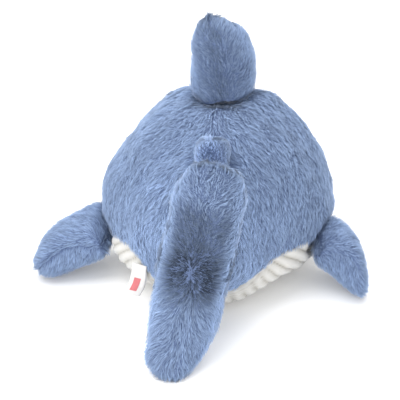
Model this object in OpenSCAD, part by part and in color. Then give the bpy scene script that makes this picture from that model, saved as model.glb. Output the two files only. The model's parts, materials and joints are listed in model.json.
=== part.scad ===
// Plush shark: a stuffed soft toy lying on its belly.
// Millimetres, +Z up, snout towards -Y, tail towards +Y, belly resting on z = 0.
// Each cloth panel is a closed shell as thick as its backing and pile together, and every
// stuffed part has its own filling. A fin's root is a round knuckle in a dish in the body,
// so the fin can bend on its seam without cutting into its neighbour.

/* [Cloth] */
// Backing and pile of the long fur together
pile = 11; // [8:0.5:13]
// Backing and pile of the ribbed belly cloth together
belly_pile = 8; // [6:0.5:9]
// Gap between pieces that move against each other
gap = 0.5; // [0.4:0.1:1]

/* [Body] */
// Half width of the body at its widest
body_half_w = 165; // [155:1:172]
// Height of the back above the widest line
body_rise = 172; // [156:1:182]

/* [Dorsal fin] */
// Height of the fin above its hinge
dorsal_height = 84; // [74:1:94]
// Stuffed thickness of the fin
dorsal_thick = 90; // [70:1:96]

/* [Second dorsal fin] */
// Height of the small fin above its hinge
second_height = 52; // [35:1:60]
// Stuffed thickness of the small fin
second_thick = 44; // [34:1:50]

/* [Tail] */
// Stuffed thickness of the tail fin
tail_thick = 84; // [66:1:88]
// Lean of the tail fin to one side, in degrees
tail_lean = 11; // [0:1:13]

/* [Pectoral fins] */
// Reach of each fin out from its hinge
pectoral_reach = 68; // [60:1:74]
// Stuffed thickness of each fin
pectoral_thick = 76; // [66:1:84]
// How much further back the right fin lies than the left
pectoral_sweep = 16; // [0:1:24]

/* [Eyes] */
// Diameter of the moulded eye
eye_d = 18; // [12:0.5:22]

/* [Label] */
// Width of the folded satin label
label_w = 22; // [15:1:28]
// Length of the folded satin label
label_l = 36; // [24:1:42]

/* [Hidden] */

blue = [0.45, 0.53, 0.70];
deep_blue = [0.36, 0.43, 0.59];
cream = [0.90, 0.89, 0.86];
fibre = [0.96, 0.96, 0.95];
black = [0.05, 0.05, 0.06];

// ---- Curves and lofts ----

function lerp(a, b, t) = a + (b - a) * t;
function power(v, p) = sign(v) * pow(abs(v), p);

// Row at key k of a table whose first column is the key, on a smooth cubic through its rows.
function slope(rows, i) =
    let(a = rows[max(i - 1, 0)], b = rows[min(i + 1, len(rows) - 1)]) (b - a) / (b[0] - a[0]);
function row_at(rows, k) =
    let(i = max(min(len([for (r = rows) if (r[0] <= k) 1]) - 1, len(rows) - 2), 0),
        p = rows[i], q = rows[i + 1], h = q[0] - p[0], t = (k - p[0]) / h,
        m = slope(rows, i) * h, n = slope(rows, i + 1) * h)
    p * (2*t*t*t - 3*t*t + 1) + m * (t*t*t - 2*t*t + t) + q * (3*t*t - 2*t*t*t) + n * (t*t*t - t*t);

// Side faces between closed rings of m points, one ring after another.
function side_faces(rings, m) =
    [for (j = [0 : rings - 2], i = [0 : m - 1])
        each [[j*m + i, j*m + (i+1)%m, (j+1)*m + (i+1)%m], [j*m + i, (j+1)*m + (i+1)%m, (j+1)*m + i]]];

// Solid whose rings run up one side and down the other, closed by strips between the sides.
module solid_loft(rings) {
    n = len(rings[0]);
    last = (len(rings) - 1) * n;
    polyhedron(
        points = [for (r = rings) each r],
        faces = concat(
            side_faces(len(rings), n),
            [for (i = [0 : n/2 - 1]) let(a = i, b = i + 1, c = (n - i - 1) % n, d = (n - i) % n)
                each concat(b == c ? [] : [[a, c, b]], a == d ? [] : [[a, d, c]])],
            [for (i = [0 : n/2 - 1]) let(a = i, b = i + 1, c = (n - i - 1) % n, d = (n - i) % n)
                each concat(b == c ? [] : [[last + a, last + b, last + c]],
                            a == d ? [] : [[last + a, last + c, last + d]])]));
}

// Shell between an outer and an inner strip of points at each station.
module shell_loft(outer, inner) {
    n = len(outer[0]);
    m = 2 * n;
    last = (len(outer) - 1) * m;
    polyhedron(
        points = [for (j = [0 : len(outer) - 1])
            each concat(outer[j], [for (i = [n - 1 : -1 : 0]) inner[j][i]])],
        faces = concat(
            side_faces(len(outer), m),
            [for (i = [0 : n - 2])
                each [[i + 1, i, m - 1 - i], [i + 1, m - 1 - i, m - 2 - i]]],
            [for (i = [0 : n - 2])
                each [[last + i, last + i + 1, last + m - 1 - i],
                      [last + i + 1, last + m - 2 - i, last + m - 1 - i]]]));
}

// ---- Body ----

// Rows: y, half width share, rise share, depth below the widest line, its height, seam angle.
BODY = [
    [-262, 0.06, 0.05,   8, 92, -12],
    [-255, 0.19, 0.16,  26, 91, -12],
    [-238, 0.33, 0.30,  46, 89, -12],
    [-206, 0.51, 0.48,  66, 84, -11],
    [-158, 0.73, 0.70,  79, 77,  -9],
    [-104, 0.90, 0.88,  79, 72,  -7],
    [ -45, 0.99, 0.98,  74, 68,  -5],
    [  15, 1.00, 1.00,  71, 66,  -3],
    [  70, 0.91, 0.93,  69, 66,  -2],
    [ 115, 0.74, 0.78,  70, 70,  -2],
    [ 145, 0.60, 0.64,  70, 75,  -3],
    [ 165, 0.50, 0.53,  67, 81, -14],
    [ 178, 0.42, 0.46,  60, 86, -42],
    [ 187, 0.38, 0.41,  54, 89, -80],
    [ 193, 0.35, 0.38,  50, 92, -90],
    [ 228, 0.24, 0.24,  37, 104, -90],
];
belly_end = 187;
body_ys = [-262, -258, -251, -240, -224, -203, -177, -148, -113, -72, -30, 12, 46, 74, 98, 118,
           136, 151, 163, 172, 180, 187, 193, 202, 213, 222];
belly_ys = [for (y = body_ys) if (y <= belly_end) y];
filling_ys = [for (y = body_ys) if (y >= -240 && y <= 205) y];
blue_steps = 10;
white_steps = 6;
fill_gap = 2.5;     // room between a filling and its panels
seam_room = 0.7;    // angle left open on each side of the belly seam
lowest_edge = -82;  // lowest angle of the line where the filling's blue side begins

function seam(y) = max(row_at(BODY, y)[5], -90);
function blue_edge(y) = y > belly_end ? -90 : seam(y) + seam_room;

// Point of the body's skin at angle a: 90 is the back, 0 the flank, -90 the belly.
function body_point(y, a, inset = 0) =
    let(r = row_at(BODY, y),
        rx = max(r[1] * body_half_w - inset, 0.5),
        up = max(r[2] * body_rise - inset, 0.5),
        down = max(r[3] - inset, 0.5))
    a >= 0 ? [rx * power(cos(a), 1.08), y, r[4] + up * sin(a)]
           : [rx * power(cos(a), 0.8), y, r[4] - down * power(-sin(a), 0.9)];

function body_strip(y, from, to, steps, inset) =
    [for (i = [0 : steps]) body_point(y, lerp(from, to, i / steps), inset)];
function flip_x(p) = [-p[0], p[1], p[2]];

// Belly strip from the seam on one flank, under the body, to the seam on the other.
function belly_strip(y, inset) =
    let(half = body_strip(y, -90, seam(y) - seam_room, white_steps, inset))
    concat([for (i = [white_steps : -1 : 1]) flip_x(half[i])], half);

// Half ring of the filling, a little inside the panels that cover it.
function filling_half(y) =
    let(edge = max(seam(y), lowest_edge), under = (y > belly_end ? pile : belly_pile) + fill_gap)
    concat([for (i = [0 : white_steps - 1]) body_point(y, lerp(-90, edge, i / white_steps), under)],
           body_strip(y, edge, 90, blue_steps, pile + fill_gap));
function whole_ring(half) = concat(half, [for (i = [len(half) - 2 : -1 : 1]) flip_x(half[i])]);

// ---- Fins ----
// In a fin's own frame the hinge is the Y axis, the chord lies along Y, the thickness along X
// and the fin reaches out along +Z. Rows: reach, chord centre, half chord, half thickness,
// shift along X, how far the chord's ends sweep out along Z, and the section's power (1 is an
// ellipse, less is fuller).
// The first row is the root, whose end is a round knuckle about the hinge.

DORSAL = [
    [-26,  0, 50, 42,  0, 0, 0.75],
    [-12,  0, 50, 45,  0, 0, 0.75],
    [ 10,  2, 52, 46,  1, 0, 0.75],
    [ 36,  9, 50, 45,  3, 0, 0.75],
    [ 60, 18, 43, 41,  6, 0, 0.75],
    [ 78, 27, 31, 30, 10, 0, 0.85],
    [ 86, 32, 18, 18, 13, 0, 0.95],
    [ 89, 34,  6,  7, 12, 0, 1.00],
];
SECOND = [
    [-14,  0, 24, 20, 0, 0, 0.75],
    [ -4,  0, 24, 22, 0, 0, 0.75],
    [ 14,  3, 23, 23, 0, 0, 0.75],
    [ 32,  9, 18, 20, 0, 0, 0.80],
    [ 46, 15, 10, 12, 0, 0, 0.90],
    [ 50, 17,  3,  4, 0, 0, 1.00],
];
TAIL = [
    [-22,  8,  32, 34, 0,  0, 0.80],
    [ -6,  9,  38, 35, 0,  0, 0.75],
    [ 10, 11,  62, 37, 0,  2, 0.65],
    [ 24, 14, 100, 38, 0,  6, 0.50],
    [ 36, 16, 122, 38, 0, 10, 0.45],
    [ 48, 17, 130, 34, 0, 16, 0.45],
    [ 56, 18, 132, 24, 0, 20, 0.50],
    [ 60, 18, 132,  9, 0, 22, 0.60],
];
PECTORAL = [
    [-22,  0, 50, 30,  0, 0, 0.75],
    [ -8,  2, 52, 35,  2, 0, 0.75],
    [ 14, 10, 52, 38,  8, 0, 0.72],
    [ 36, 22, 46, 36, 15, 0, 0.72],
    [ 52, 33, 35, 28, 21, 0, 0.80],
    [ 60, 40, 20, 16, 25, 0, 0.90],
    [ 63, 43,  7,  6, 27, 0, 1.00],
];
fin_steps = 12;    // ring segments from one end of the chord to the other
sweep_power = 1.7; // how sharply the ends of the chord sweep out

function knuckle(rows) = norm([rows[0][3], rows[0][0]]);
function resized(rows, reach, thick, sweep = 0) =
    let(top = rows[len(rows) - 1][0], widest = max([for (r = rows) r[3]]))
    [for (r = rows) let(out = max(r[0], 0) / top, half = r[3] * thick / widest / 2)
        [r[0] > 0 ? reach * out : r[0], r[1] + sweep * out, r[2], half, r[4], r[5], r[6]]];
function keys(rows) =
    [for (i = [0 : len(rows) - 2]) each [rows[i][0], (rows[i][0] + rows[i + 1][0]) / 2],
     rows[len(rows) - 1][0]];

// Half ring of a fin from angle a0 to a1, drawn in by the inset. The root's ring lies
// on the knuckle. Column 5 sweeps the ends of the chord out, more the further they are from z.
function fin_strip(rows, key, a0, a1, inset) =
    let(r = row_at(rows, key), chord = max(r[2] - inset, 0.6), thick = max(r[3] - inset, 0.6),
        radius = knuckle(rows) - (inset > pile ? fill_gap : 0))
    [for (i = [0 : fin_steps])
        let(a = lerp(a0, a1, i / fin_steps),
            x = thick * power(cos(a), r[6]), y = chord * power(sin(a), r[6]),
            z = r[0] + r[5] * pow(abs(y) / 100, sweep_power))
        [r[4] + x, r[1] + y, key == rows[0][0] ? -sqrt(radius * radius - x * x) : z]];

module fin_panel(rows, a0, a1)
    shell_loft([for (k = keys(rows)) fin_strip(rows, k, a0, a1, 0)],
               [for (k = keys(rows)) fin_strip(rows, k, a0, a1, pile)]);
module fin_filling(rows) {
    room = pile + fill_gap;
    solid_loft([for (k = keys(rows)) let(r = row_at(rows, k)) if (min(r[2], r[3]) > room + 2)
        let(near = fin_strip(rows, k, 270, 90, room), far = fin_strip(rows, k, 90, -90, room))
        concat(near, [for (i = [1 : fin_steps - 1]) far[i]])]);
}

// Dish that leaves the knuckle of a fin room to turn.
dish_room = 6;     // how far the dish runs past each end of the root
module dish(rows)
    rotate([90, 0, 0])
        cylinder(r = knuckle(rows) + gap, h = 2 * (rows[0][2] + dish_room), center = true, $fn = 96);

// ---- Hinges ----
dorsal_hinge = [-7, -34, 262];
second_hinge = [-9, 125, 200];
second_tilt = -30;
tail_hinge = [1, 228, 108];
tail_tilt = 5;
pectoral_hinge = [172, 55, 52];

module at_dorsal() translate(dorsal_hinge) children();
module at_second() translate(second_hinge) rotate([second_tilt, 0, 0]) children();
module at_tail() translate(tail_hinge) rotate([tail_tilt, -tail_lean, 0]) rotate([90, 0, 180]) children();
module at_pectoral() translate(pectoral_hinge) rotate([0, 90, 0]) children();

swept_short = 28;      // how much less the swept right fin reaches
tail_dish_half = 60;   // half length of the dish behind the tail's root

dorsal_rows = resized(DORSAL, dorsal_height, dorsal_thick);
second_rows = resized(SECOND, second_height, second_thick);
tail_rows = resized(TAIL, TAIL[len(TAIL) - 1][0], tail_thick);
pectoral_rows = resized(PECTORAL, pectoral_reach, pectoral_thick);
swept_rows = resized(PECTORAL, pectoral_reach - swept_short, pectoral_thick, pectoral_sweep);

module fin_dishes() {
    at_dorsal() dish(dorsal_rows);
    at_second() dish(second_rows);
    at_tail() dish([[tail_rows[0][0], 0, tail_dish_half, tail_rows[0][3]]]);
    at_pectoral() dish(pectoral_rows);
    mirror([1, 0, 0]) at_pectoral() dish(pectoral_rows);
}

// ---- Pieces of the body ----
rest_depth = 50;
module below_floor() translate([-300, -400, -rest_depth]) cube([600, 800, rest_depth]);

module back_panel()
    shell_loft([for (y = body_ys) body_strip(y, blue_edge(y), 90, blue_steps, 0)],
               [for (y = body_ys) body_strip(y, blue_edge(y), 90, blue_steps, pile)]);
module back_panel_left() color(blue) difference() {
    back_panel();
    fin_dishes();
    at_eye() eye_pocket();
}
module back_panel_right() color(blue) difference() {
    mirror([1, 0, 0]) back_panel();
    fin_dishes();
    mirror([1, 0, 0]) at_eye() eye_pocket();
}

module belly_panel() color(cream) difference() {
    shell_loft([for (y = belly_ys) belly_strip(y, 0)], [for (y = belly_ys) belly_strip(y, belly_pile)]);
    below_floor();
    fin_dishes();
}

module body_filling() color(fibre) difference() {
    solid_loft([for (y = filling_ys) whole_ring(filling_half(y))]);
    fin_dishes();
    at_eye() washer_pocket();
    mirror([1, 0, 0]) at_eye() washer_pocket();
}

// ---- Eyes ----
eye_y = -192;
eye_angle = 14;
eye_turn = -34;
eye_sunk = 6;       // depth of the eye's base below the tips of the pile
shank_d = 4;
shank_l = 10;
washer_d = 15;
washer_t = 1.5;
shank_play = 0.2;   // room round the shank in the cloth
washer_drop = 2.4;  // from the inside of the cloth down to the underside of the washer
through = 10;       // how far the eye's pocket runs out past the fur

module at_eye()
    translate(body_point(eye_y, eye_angle)) rotate([0, 90 - eye_angle, eye_turn])
        translate([0, 0, -eye_sunk]) children();
module eye() color(black) {
    intersection() {
        sphere(d = eye_d, $fn = 64);
        translate([0, 0, eye_d / 2]) cube(eye_d, center = true);
    }
    translate([0, 0, -shank_l]) cylinder(d = shank_d, h = shank_l, $fn = 32);
}
// Pocket in the fur that the eye sits in, with a hole for its shank.
module eye_pocket() {
    cylinder(d = eye_d + gap, h = eye_sunk + through, $fn = 64);
    translate([0, 0, -2 * shank_l]) cylinder(d = shank_d + shank_play, h = 2 * shank_l + 1, $fn = 32);
}
module washer_pocket()
    translate([0, 0, -shank_l - 1]) cylinder(d = washer_d + 1, h = shank_l + 3, $fn = 48);
module eye_washer() color("white") translate([0, 0, eye_sunk - pile - washer_drop]) difference() {
    cylinder(d = washer_d, h = washer_t, $fn = 48);
    translate([0, 0, -1]) cylinder(d = shank_d + shank_play / 2, h = washer_t + 2, $fn = 32);
}
module eye_left() at_eye() eye();
module eye_right() mirror([1, 0, 0]) at_eye() eye();
module eye_washer_left() at_eye() eye_washer();
module eye_washer_right() mirror([1, 0, 0]) at_eye() eye_washer();

// ---- Mouth ----
thread_r = 1.2;
thread_gap = 0.4;    // the thread lies this far off the cloth
mouth_front = -250;  // y of the mouth's middle, under the snout
mouth_back = 42;     // how far its corners lie behind the middle
mouth_rise = 62;     // how far round the chin its corners rise, in degrees
mouth_steps = 28;

// Point of the mouth line at t from -1, its right corner, to 1, its left.
function mouth_point(t) =
    let(y = mouth_front + mouth_back * t * t, a = -90 + mouth_rise * pow(abs(t), 0.9),
        p = body_point(y, a, -thread_r - thread_gap))
    t < 0 ? flip_x(p) : p;
module mouth_stitch() color(deep_blue) {
    path = [for (i = [0 : mouth_steps]) mouth_point(2 * i / mouth_steps - 1)];
    rings = [for (i = [0 : mouth_steps])
        let(d = path[min(i + 1, mouth_steps)] - path[max(i - 1, 0)], t = d / norm(d),
            u = cross(t, [0, 0, 1]) / norm(cross(t, [0, 0, 1])), v = cross(u, t))
        [for (a = [0 : 45 : 315]) path[i] + thread_r * (u * cos(a) + v * sin(a))]];
    n = 8;
    polyhedron(points = [for (r = rings) each r],
               faces = concat(side_faces(mouth_steps + 1, n),
                              [[for (i = [n - 1 : -1 : 0]) i]],
                              [[for (i = [0 : n - 1]) mouth_steps * n + i]]));
}

// ---- Pieces of the fins ----
module dorsal_panel_left() color(blue) at_dorsal() fin_panel(dorsal_rows, 90, -90);
module dorsal_panel_right() color(blue) at_dorsal() fin_panel(dorsal_rows, 270, 90);
module dorsal_filling() color(fibre) at_dorsal() fin_filling(dorsal_rows);

module second_dorsal_panel_left() color(blue) at_second() fin_panel(second_rows, 90, -90);
module second_dorsal_panel_right() color(blue) at_second() fin_panel(second_rows, 270, 90);
module second_dorsal_filling() color(fibre) at_second() fin_filling(second_rows);

module tail_panel_left() color(blue) at_tail() fin_panel(tail_rows, 270, 90);
module tail_panel_right() color(blue) at_tail() fin_panel(tail_rows, 90, -90);
module tail_filling() color(fibre) at_tail() fin_filling(tail_rows);

module pectoral_upper(rows) color(blue) at_pectoral() fin_panel(rows, 270, 90);
module pectoral_lower(rows) color(blue) at_pectoral() fin_panel(rows, 90, -90);
module pectoral_filling(rows) color(fibre) at_pectoral() fin_filling(rows);
module pectoral_left_upper_panel() pectoral_upper(pectoral_rows);
module pectoral_left_lower_panel() pectoral_lower(pectoral_rows);
module pectoral_left_filling() pectoral_filling(pectoral_rows);
module pectoral_right_upper_panel() mirror([1, 0, 0]) pectoral_upper(swept_rows);
module pectoral_right_lower_panel() mirror([1, 0, 0]) pectoral_lower(swept_rows);
module pectoral_right_filling() mirror([1, 0, 0]) pectoral_filling(swept_rows);

// ---- Label ----
label_t = 1.6;       // both layers of the folded satin
print_t = 0.3;
band_w = 0.72;       // the band's width as a share of the label's
band_l = 0.5;        // its length as a share of the label's
band_low = 0.82;     // where its lower edge lies, as a share of the label's length
label_hinge = [82, 172, 60];
label_turn = -25;
label_tilt = 14;
module at_label() translate(label_hinge) rotate([0, 0, label_turn]) rotate([label_tilt, 0, 0]) children();
module label() color("white") at_label() translate([-label_w / 2, 0, -label_l]) {
    translate([0, -label_t / 2, label_t / 2]) cube([label_w, label_t, label_l - label_t / 2]);
    translate([0, 0, label_t / 2]) rotate([0, 90, 0]) cylinder(d = label_t, h = label_w, $fn = 24);
}
module label_print() color([0.72, 0.24, 0.26]) at_label()
    translate([-label_w * band_w / 2, label_t / 2, -label_l * band_low])
        cube([label_w * band_w, print_t, label_l * band_l]);

back_panel_left();
back_panel_right();
belly_panel();
body_filling();
eye_left();
eye_right();
eye_washer_left();
eye_washer_right();
mouth_stitch();
dorsal_panel_left();
dorsal_panel_right();
dorsal_filling();
second_dorsal_panel_left();
second_dorsal_panel_right();
second_dorsal_filling();
tail_panel_left();
tail_panel_right();
tail_filling();
pectoral_left_upper_panel();
pectoral_left_lower_panel();
pectoral_left_filling();
pectoral_right_upper_panel();
pectoral_right_lower_panel();
pectoral_right_filling();
label();
label_print();
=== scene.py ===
"""Plush shark: fur, ribbed belly, eyes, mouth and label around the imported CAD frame."""

import json
import math

import bpy
import numpy as np
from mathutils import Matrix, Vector
from mathutils.bvhtree import BVHTree


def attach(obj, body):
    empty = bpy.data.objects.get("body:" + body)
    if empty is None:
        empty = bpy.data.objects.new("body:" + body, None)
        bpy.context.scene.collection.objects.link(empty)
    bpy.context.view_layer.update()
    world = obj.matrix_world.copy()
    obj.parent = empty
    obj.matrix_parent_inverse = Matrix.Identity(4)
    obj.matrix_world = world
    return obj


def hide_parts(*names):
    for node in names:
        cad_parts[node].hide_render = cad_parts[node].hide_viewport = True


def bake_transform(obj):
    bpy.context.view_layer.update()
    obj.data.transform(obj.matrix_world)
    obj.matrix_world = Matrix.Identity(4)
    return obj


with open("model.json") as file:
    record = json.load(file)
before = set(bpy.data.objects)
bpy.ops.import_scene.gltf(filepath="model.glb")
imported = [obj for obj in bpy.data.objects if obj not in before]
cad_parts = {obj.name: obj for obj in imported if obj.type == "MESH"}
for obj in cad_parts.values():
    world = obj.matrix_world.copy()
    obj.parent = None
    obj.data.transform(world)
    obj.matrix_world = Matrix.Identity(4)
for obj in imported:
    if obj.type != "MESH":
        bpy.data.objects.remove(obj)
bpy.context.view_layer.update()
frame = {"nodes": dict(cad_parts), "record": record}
MM = 0.001
UP = np.array([0.0, 0.0, 1.0])
BACKWARD = np.array([0.0, 1.0, 0.0])


# -------- small helpers


def unit(v):
    """Rows of v at length 1."""
    return v / np.maximum(np.linalg.norm(v, axis=-1, keepdims=True), 1e-12)


def along_surface(v, normal):
    """Rows of v without their part along the normal, at length 1."""
    return unit(v - normal * (v * normal).sum(-1, keepdims=True))


def smooth_step(x, low, high):
    """0 below low, 1 above high, and a smooth rise between them."""
    t = np.clip((x - low) / (high - low), 0.0, 1.0)
    return t * t * (3 - 2 * t)


def bell(x, width):
    """1 at x = 0, falling to almost nothing at twice the width."""
    return np.exp(-((x / width) ** 2))


class Waves:
    """A smooth random field with features of about the given size, the same on each run."""

    COUNT = 24

    def __init__(self, seed, size):
        rng = np.random.default_rng(seed)
        self.k = unit(rng.normal(size=(self.COUNT, 3))) * rng.uniform(0.6, 1.6, (self.COUNT, 1))
        self.k *= math.pi / size
        self.phase = rng.uniform(0, 2 * math.pi, self.COUNT)

    def __call__(self, points):
        return np.sin(points @ self.k.T + self.phase).sum(-1) / math.sqrt(self.COUNT / 2)


def new_object(name, points, faces):
    """A smooth mesh from arrays, where all faces have the same number of corners."""
    mesh = bpy.data.meshes.new(name)
    points = np.asarray(points, np.float32)
    faces = np.asarray(faces, np.int32)
    mesh.vertices.add(len(points))
    mesh.vertices.foreach_set("co", points.ravel())
    mesh.loops.add(faces.size)
    mesh.loops.foreach_set("vertex_index", faces.ravel())
    mesh.polygons.add(len(faces))
    mesh.polygons.foreach_set("loop_start", np.arange(len(faces), dtype=np.int32) * faces.shape[1])
    mesh.update(calc_edges=True)
    return shown(name, mesh)


def closed_object(name, points, faces):
    """A smooth closed mesh that looks outwards, from lists of points and faces."""
    mesh = bpy.data.meshes.new(name)
    mesh.from_pydata(points, [], faces)
    return turn_outwards(shown(name, mesh))


def shown(name, mesh):
    mesh.polygons.foreach_set("use_smooth", np.ones(len(mesh.polygons), bool))
    obj = bpy.data.objects.new(name, mesh)
    bpy.context.scene.collection.objects.link(obj)
    return obj


def points_of(obj):
    co = np.empty(len(obj.data.vertices) * 3)
    obj.data.vertices.foreach_get("co", co)
    return co.reshape(-1, 3)


def triangles_of(obj):
    obj.data.calc_loop_triangles()
    index = np.empty(len(obj.data.loop_triangles) * 3, int)
    obj.data.loop_triangles.foreach_get("vertices", index)
    return index.reshape(-1, 3)


def turn_outwards(obj):
    """Flips a closed mesh whose faces look inwards."""
    a, b, c = points_of(obj)[triangles_of(obj)].transpose(1, 0, 2)
    if (np.cross(a, b) * c).sum() < 0:
        obj.data.flip_normals()
    return obj


def ring_faces(rings, columns):
    """Faces between rings of points that follow each other, and one face at each end."""
    index = np.arange(rings * columns).reshape(rings, columns)
    after = np.roll(index, -1, 1)
    quads = np.stack([index[:-1], after[:-1], after[1:], index[1:]], -1).reshape(-1, 4)
    return quads.tolist() + [index[0, ::-1].tolist(), index[-1].tolist()]


def grid_faces(rows, columns):
    index = np.arange(rows * columns).reshape(rows, columns)
    corners = [index[:-1, :-1], index[:-1, 1:], index[1:, 1:], index[1:, :-1]]
    return np.stack(corners, -1).reshape(-1, 4)


def set_attribute(obj, name, values):
    layer = obj.data.attributes.new(name, "FLOAT", "POINT")
    layer.data.foreach_set("value", np.asarray(values, np.float32))


def joint_named(name):
    return next(j for j in frame["record"]["behaviour"]["joints"] if j["name"] == name)


def cad_triangles(*nodes):
    """Corner points of every triangle of these CAD nodes."""
    found = [points_of(frame["nodes"][n])[triangles_of(frame["nodes"][n])] for n in nodes]
    return np.concatenate(found)


class Surface:
    """Closed skins, for the distance of a point from them and whether it is inside."""

    RAY = Vector((0.31, 0.52, 0.79)).normalized()
    STEP = 0.02 * MM

    def __init__(self, *skins):
        points, faces = [], []
        for skin in skins:
            obj = skin.object("measure")
            faces.extend((triangles_of(obj) + len(points)).tolist())
            points.extend(points_of(obj).tolist())
            bpy.data.objects.remove(obj)
        self.tree = BVHTree.FromPolygons(points, faces)

    def inside(self, point):
        hits = 0
        place = Vector(point)
        while True:
            hit = self.tree.ray_cast(place, self.RAY)[0]
            if hit is None:
                return hits % 2 == 1
            hits += 1
            place = hit + self.RAY * self.STEP

    def heights(self, points):
        """Distance of each point from the nearest skin, negative inside it."""
        return np.array([self.height(p) for p in points.tolist()])

    def height(self, point):
        return self.tree.find_nearest(point)[3] * (-1 if self.inside(point) else 1)


# -------- skins as closed rings of points


def cut_points(local, position):
    """Points (u, v) where a plane cuts triangles given as (u, v, position) corners."""
    found = []
    for i in range(3):
        a, b = local[:, i], local[:, (i + 1) % 3]
        crossing = (a[:, 2] - position) * (b[:, 2] - position) < 0
        a, b = a[crossing], b[crossing]
        t = ((position - a[:, 2]) / (b[:, 2] - a[:, 2]))[:, None]
        found.append((a + (b - a) * t)[:, :2])
    return np.concatenate(found)


def convex_hull(points):
    """Corners of the convex hull of 2D points, anticlockwise."""
    order = sorted(map(tuple, np.unique(points.round(6), axis=0)))

    def chain(sequence):
        out = []
        for p in sequence:
            while len(out) > 1:
                a, b = out[-2], out[-1]
                if (b[0] - a[0]) * (p[1] - a[1]) - (b[1] - a[1]) * (p[0] - a[0]) > 0:
                    break
                out.pop()
            out.append(p)
        return out[:-1]

    return np.array(chain(order) + chain(order[::-1]))


def arc_lengths(line):
    return np.concatenate([[0], np.cumsum(np.linalg.norm(np.diff(line, axis=0), axis=1))])


def row_arcs(grid):
    return np.array([arc_lengths(line) for line in grid])


def resample(line, arcs):
    """Rows at shares of a line's length. Columns after the first three are carried along."""
    arc = arc_lengths(line[:, :3])
    return np.stack([np.interp(arcs * arc[-1], arc, line[:, k]) for k in range(line.shape[1])], 1)


def half_outlines(hull, even):
    """The hull from its furthest u to its nearest, on the +v side and on the -v side."""
    flat = 0.3 * MM
    if even:
        hull = convex_hull(np.concatenate([hull, hull * [1, -1]]))
    top = hull[hull[:, 0] > hull[:, 0].max() - flat].mean(0)
    low = hull[hull[:, 0] < hull[:, 0].min() + flat].mean(0)
    out = unit(top - low)
    aside = (hull - low) @ [-out[1], out[0]]
    halves = []
    for sign in (1, -1):
        side = hull[aside * sign > flat]
        side = side[np.argsort(-(side - low) @ out)]
        halves.append(np.vstack([top, side, low]))
    return halves


def running_mean(values, reach):
    """Each value averaged with its neighbours, along the first axis."""
    total = np.zeros_like(values)
    for shift in range(-reach, reach + 1):
        index = np.clip(np.arange(len(values)) + shift, 0, len(values) - 1)
        total += values[index]
    return total / (2 * reach + 1)


class Skin:
    """A stuffed form as sections along a direction, each a closed ring of points.

    Column 0 of the grid runs along one seam and the middle column along the opposite one.
    The first half of the columns is on the +v side, where v = along x toward.
    """

    END_SCALES = (0.94, 0.8, 0.58, 0.3, 0.02)
    END_DEPTH = 0.3  # depth of the rounded end as a share of the last ring's radius

    def __init__(self, nodes, origin, along, toward, step, columns, inset, even=False, start=-1.0):
        axes = np.stack([toward, np.cross(along, toward), along], 1)
        local = (cad_triangles(*nodes) - origin) @ axes
        low, high = max(local[:, :, 2].min() + inset, start), local[:, :, 2].max() - inset
        self.positions = np.linspace(low, high, max(int((high - low) / step), 6))
        shares = np.linspace(0, 1, columns // 2 + 1)
        rings = []
        for position in self.positions:
            near, far = half_outlines(convex_hull(cut_points(local, position)), even)
            ring = np.vstack([resample(near, shares), resample(far, shares)[-2:0:-1]])
            rings.append(np.column_stack([ring, np.full(len(ring), position)]))
        rings = self.rounded_ends(running_mean(np.array(rings), 2))
        self.grid = rings @ axes.T + origin

    def rounded_ends(self, rings):
        """Adds rings that shrink to a point at each end."""
        def cap(ring, sign):
            middle = ring.mean(0)
            depth = min(np.linalg.norm(ring - middle, axis=1).mean() * self.END_DEPTH, 8 * MM)
            steps = np.sin(np.arccos(self.END_SCALES)) * depth * sign
            pairs = zip(self.END_SCALES, steps)
            return [middle + (ring - middle) * scale + [0, 0, step] for scale, step in pairs]

        start = cap(rings[0], -1)[::-1]
        return np.concatenate([start, rings, cap(rings[-1], 1)])

    def normals(self):
        across = np.roll(self.grid, -1, 1) - np.roll(self.grid, 1, 1)
        along = np.gradient(self.grid, axis=0)
        return unit(np.cross(across, along))

    def push(self, distance):
        """Moves each point along its normal, and in by no more than part of its ring's radius."""
        radius = np.linalg.norm(self.grid - self.grid.mean(1, keepdims=True), axis=2)
        distance = np.maximum(distance, -0.6 * radius)
        self.grid = self.grid + self.normals() * distance[..., None]

    def relax(self, passes):
        """Evens out the points, which undoes the small folds that a push makes at narrow edges."""
        for _ in range(passes):
            around = (np.roll(self.grid, 1, 1) + np.roll(self.grid, -1, 1)) / 2
            self.grid = (self.grid + around) / 2
            along = (self.grid[:-2] + self.grid[2:]) / 2
            self.grid[1:-1] = (3 * self.grid[1:-1] + along) / 4

    def flat(self):
        return self.grid.reshape(-1, 3)

    def object(self, name):
        """The whole skin as one closed mesh."""
        return closed_object(name, self.flat().tolist(), ring_faces(*self.grid.shape[:2]))

    def half(self, side, normals=False):
        """Rows of points from one seam to the opposite one, on the +v or the -v side."""
        grid = self.normals() if normals else self.grid
        middle = grid.shape[1] // 2
        if side > 0:
            return grid[:, : middle + 1]
        return np.concatenate([grid[:, :1], grid[:, : middle - 1 : -1]], 1)


def closed_panel(name, outer, normals, thickness):
    """A panel with an outside, an inside and an edge all round."""
    rows, columns = outer.shape[:2]
    size = rows * columns
    index = np.arange(size).reshape(rows, columns)
    rim = np.concatenate([index[0, :-1], index[:-1, -1], index[-1, :0:-1], index[:0:-1, 0]])
    after = np.roll(rim, -1)
    edge = np.stack([rim, rim + size, after + size, after], 1)
    front = grid_faces(rows, columns)
    inner = outer - normals * thickness
    points = np.concatenate([outer.reshape(-1, 3), inner.reshape(-1, 3)])
    faces = np.concatenate([front, front[:, ::-1] + size, edge])
    return turn_outwards(new_object(name, points, faces))


# -------- stuffing, by cloth simulation

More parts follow.
